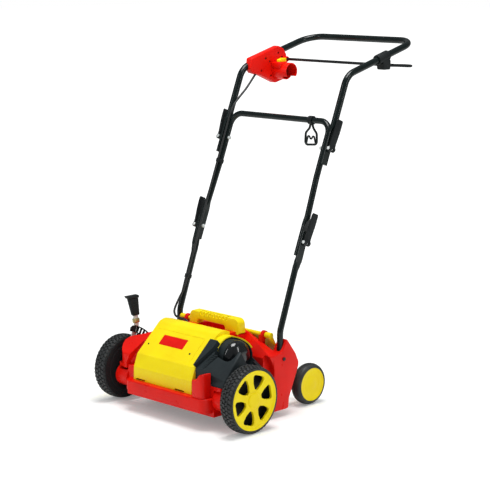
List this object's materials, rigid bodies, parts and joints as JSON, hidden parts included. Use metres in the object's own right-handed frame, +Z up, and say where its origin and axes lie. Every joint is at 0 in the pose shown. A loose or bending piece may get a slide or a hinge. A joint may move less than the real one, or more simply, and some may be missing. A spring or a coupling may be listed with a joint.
{
  "type": "lawn scarifier",
  "caption": "Electric lawn scarifier with a red deck, a yellow motor hood, a tine rotor under the deck, larger front wheels, a depth lever and a tube handle that folds in the middle.",
  "frame": {"origin": "on the ground, at the middle of the bounding box seen from above", "axes": "+X to the right for the person who pushes it, +Y to the rear, towards that person, +Z up"},
  "size_m": [0.6, 0.9121, 1.1044],
  "materials": {
    "tyre": "matt dark grey tread",
    "yellow_plastic": "smooth yellow",
    "red_plastic": "semi-gloss red",
    "black_plastic": "fine grained black",
    "gloss_black": "polished black",
    "black_tube": "glossy dark green-black coating",
    "zinc_steel": "zinc plated",
    "steel": "plain steel",
    "aluminium": "cast and machined",
    "brass": "yellow plated",
    "belt_rubber": "matt black",
    "cable_sheath": "black sheath"
  },
  "bodies": {
    "deck": {"chassis": "red_plastic", "front_apron": "red_plastic", "motor_hood": "yellow_plastic", "hood_plate": "red_plastic", "drive_cover": "black_plastic", "motor_end": "gloss_black", "motor_housing": "aluminium", "drive_belt": "belt_rubber", "tine_tunnel": "steel", "bearing_right": "steel", "bearing_left": "steel", "carry_handle": "yellow_plastic", "depth_quadrant": "black_plastic", "rear_axle": "zinc_steel", "lower_tube_right": "black_tube", "lower_tube_left": "black_tube", "socket_bolt_right": "zinc_steel", "socket_bolt_left": "zinc_steel", "lower_joint_bolt_right": "zinc_steel", "lower_joint_bolt_left": "zinc_steel", "cable_lower": "cable_sheath", "cable_clip_lower": "black_plastic"},
    "front_axle": {"front_axle": "zinc_steel", "depth_lever": "zinc_steel", "depth_lever_collar": "brass", "depth_lever_grip": "black_plastic"},
    "rotor": {"rotor_shaft": "steel", "rotor_pulley": "aluminium", "tine_rotor": "steel"},
    "motor_shaft": {"motor_shaft": "steel"},
    "rear_flap": {"rear_flap": "yellow_plastic"},
    "middle_handle": {"middle_handle": "black_tube", "cable_middle": "cable_sheath", "cable_clip_upper": "black_plastic"},
    "upper_handle": {"upper_handle": "black_tube", "upper_joint_bolt_right": "zinc_steel", "upper_joint_bolt_left": "zinc_steel", "switch_box_inner": "red_plastic", "switch_box_outer": "red_plastic", "power_inlet": "black_plastic", "bail_bracket": "black_plastic", "cable_upper": "cable_sheath"},
    "bail": {"bail_lever": "black_plastic"},
    "lock_button": {"lock_button": "yellow_plastic"},
    "cable_hook": {"cable_hook": "steel"},
    "front_wheel_right": {"front_tyre_right": "tyre", "front_rim_right": "yellow_plastic", "front_hub_cap_right": "yellow_plastic"},
    "rear_wheel_right": {"rear_tyre_right": "tyre", "rear_disc_right": "yellow_plastic"},
    "front_wheel_left": {"front_tyre_left": "tyre", "front_rim_left": "yellow_plastic", "front_hub_cap_left": "yellow_plastic"},
    "rear_wheel_left": {"rear_tyre_left": "tyre", "rear_disc_left": "yellow_plastic"},
    "lower_clamp_right": {"lower_clamp_lever_right": "black_plastic"},
    "lower_clamp_left": {"lower_clamp_lever_left": "black_plastic"},
    "upper_clamp_right": {"upper_clamp_lever_right": "black_plastic"},
    "upper_clamp_left": {"upper_clamp_lever_left": "black_plastic"}
  },
  "joints": [
    {"name": "depth_setting", "type": "hinge", "parent": "deck", "child": "front_axle", "pos_m": [0, -0.38625, 0.088], "axis": [1, 0, 0], "range_deg": [-24, 0]},
    {"name": "rotor_spin", "type": "hinge", "parent": "deck", "child": "rotor", "pos_m": [0, -0.24125, 0.07], "axis": [1, 0, 0], "continuous": true},
    {"name": "motor_spin", "type": "hinge", "parent": "deck", "child": "motor_shaft", "pos_m": [0, -0.29425, 0.195], "axis": [1, 0, 0], "continuous": true},
    {"name": "flap_lift", "type": "hinge", "parent": "deck", "child": "rear_flap", "pos_m": [0, -0.17825, 0.243], "axis": [1, 0, 0], "range_deg": [0, 70]},
    {"name": "lower_fold", "type": "hinge", "parent": "deck", "child": "middle_handle", "pos_m": [0, -0.07225, 0.516], "axis": [1, 0, 0], "range_deg": [0, 130], "deforming": ["cable_middle"]},
    {"name": "upper_fold", "type": "hinge", "parent": "middle_handle", "child": "upper_handle", "pos_m": [0, 0.03525, 0.788], "axis": [1, 0, 0], "range_deg": [-120, 0], "deforming": ["cable_upper"]},
    {"name": "hook_swing", "type": "hinge", "parent": "middle_handle", "child": "cable_hook", "pos_m": [0.12, 0.06605, 0.8651], "axis": [1, 0, 0], "continuous": true},
    {"name": "bail_pull", "type": "hinge", "parent": "upper_handle", "child": "bail", "pos_m": [0, 0.29375, 1.026], "axis": [1, 0, 0], "range_deg": [0, 20], "stiffness_Nm_per_rad": 1.5, "springref_deg": -11.46},
    {"name": "button_press", "type": "slide", "parent": "upper_handle", "child": "lock_button", "axis": [0, 0, -1], "range_m": [0, 0.004], "stiffness_N_per_m": 250, "springref_m": -0.002},
    {"name": "front_wheel_right_spin", "type": "hinge", "parent": "front_axle", "child": "front_wheel_right", "pos_m": [0.3, -0.35625, 0.1], "axis": [1, 0, 0], "continuous": true},
    {"name": "rear_wheel_right_spin", "type": "hinge", "parent": "deck", "child": "rear_wheel_right", "pos_m": [0.211, -0.01025, 0.064], "axis": [1, 0, 0], "continuous": true},
    {"name": "front_wheel_left_spin", "type": "hinge", "parent": "front_axle", "child": "front_wheel_left", "pos_m": [-0.3, -0.35625, 0.1], "axis": [1, 0, 0], "continuous": true},
    {"name": "rear_wheel_left_spin", "type": "hinge", "parent": "deck", "child": "rear_wheel_left", "pos_m": [-0.211, -0.01025, 0.064], "axis": [1, 0, 0], "continuous": true},
    {"name": "lower_clamp_right_open", "type": "hinge", "parent": "deck", "child": "lower_clamp_right", "pos_m": [0.23532, -0.07225, 0.516], "axis": [0, 0.9292, -0.3697], "range_deg": [0, 110]},
    {"name": "lower_clamp_left_open", "type": "hinge", "parent": "deck", "child": "lower_clamp_left", "pos_m": [-0.23532, -0.07225, 0.516], "axis": [0, -0.9292, 0.3697], "range_deg": [0, 110]},
    {"name": "upper_clamp_right_open", "type": "hinge", "parent": "upper_handle", "child": "upper_clamp_right", "pos_m": [0.23532, 0.03525, 0.788], "axis": [0, 0.9292, -0.3697], "range_deg": [0, 110]},
    {"name": "upper_clamp_left_open", "type": "hinge", "parent": "upper_handle", "child": "upper_clamp_left", "pos_m": [-0.23532, 0.03525, 0.788], "axis": [0, -0.9292, 0.3697], "range_deg": [0, 110]}
  ],
  "couplings": [
    {"joint": "motor_spin", "follows": "rotor_spin", "ratio": 2.4}
  ]
}
